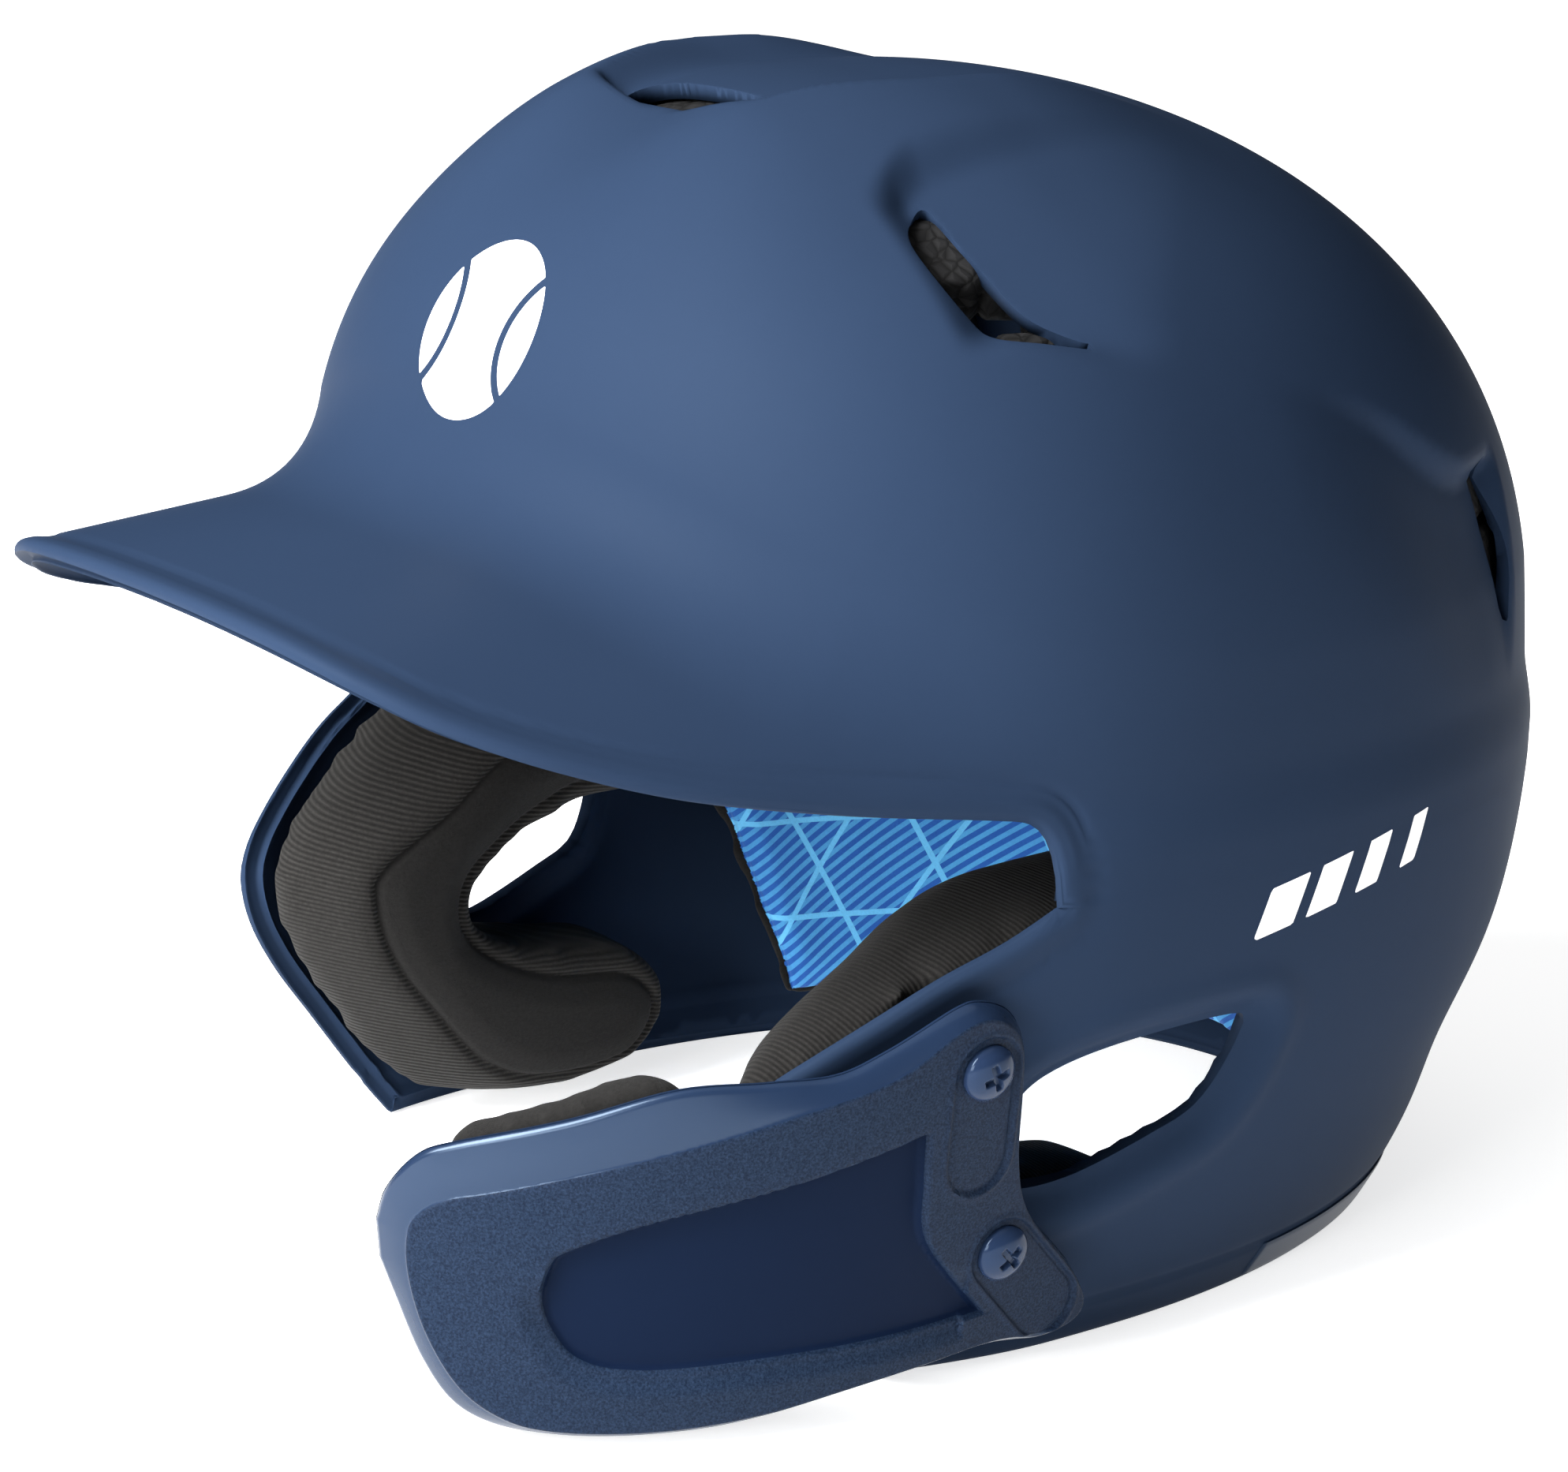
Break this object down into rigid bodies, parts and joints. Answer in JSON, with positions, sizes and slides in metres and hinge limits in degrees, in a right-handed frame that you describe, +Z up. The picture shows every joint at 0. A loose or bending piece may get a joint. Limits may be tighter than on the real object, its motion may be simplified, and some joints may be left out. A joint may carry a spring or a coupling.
{
  "type": "batting helmet",
  "caption": "Batting helmet with a brim, padded ear flaps and a bolt-on guard over the left jaw that swings about the ear.",
  "frame": {"origin": "centre of the bounding box in plan, at the plane of the bottom rim that the helmet stands on", "axes": "+Z up, -Y towards the brim's tip, +X towards the wearer's left, which is the side with the jaw guard"},
  "size_m": [0.227, 0.2896, 0.2277],
  "materials": {
    "shell_navy": "satin",
    "trim_navy": "satin",
    "foam_black": "matte",
    "pad_black": "matte",
    "liner_blue": "matte",
    "guard_navy": "satin",
    "screw_steel": "gloss",
    "spacer_rubber": "matte",
    "nut_steel": "satin"
  },
  "bodies": {
    "helmet": {"shell": "shell_navy", "rear_trim": "trim_navy", "front_foam": "foam_black", "rear_foam": "foam_black", "nape_foam": "foam_black", "left_foam": "foam_black", "right_foam": "foam_black", "crown_foam": "foam_black", "forehead_pad": "pad_black", "left_side_pad": "pad_black", "right_side_pad": "pad_black", "crown_pad": "pad_black", "rear_pad": "liner_blue", "left_ear_pad": "pad_black", "right_ear_pad": "pad_black", "upper_spacer": "spacer_rubber", "lower_spacer": "spacer_rubber", "upper_t_nut": "nut_steel", "lower_t_nut": "nut_steel"},
    "guard": {"jaw_guard": "guard_navy", "jaw_guard_pad": "pad_black"},
    "screw_upper": {"upper_screw": "screw_steel"},
    "screw_lower": {"lower_screw": "screw_steel"}
  },
  "joints": [
    {"name": "guard_tilt", "type": "hinge", "parent": "helmet", "child": "guard", "pos_m": [0.11, 0.00537, 0.065], "axis": [-0.9877, 0, 0.1564], "range_deg": [0, 17]},
    {"name": "upper_screw_turn", "type": "hinge", "parent": "helmet", "child": "screw_upper", "pos_m": [0.10997, -0.04413, 0.065], "axis": [0.9877, 0, -0.1564], "continuous": true},
    {"name": "lower_screw_turn", "type": "hinge", "parent": "helmet", "child": "screw_lower", "pos_m": [0.10424, -0.03523, 0.02865], "axis": [0.9877, 0, -0.1564], "continuous": true}
  ]
}
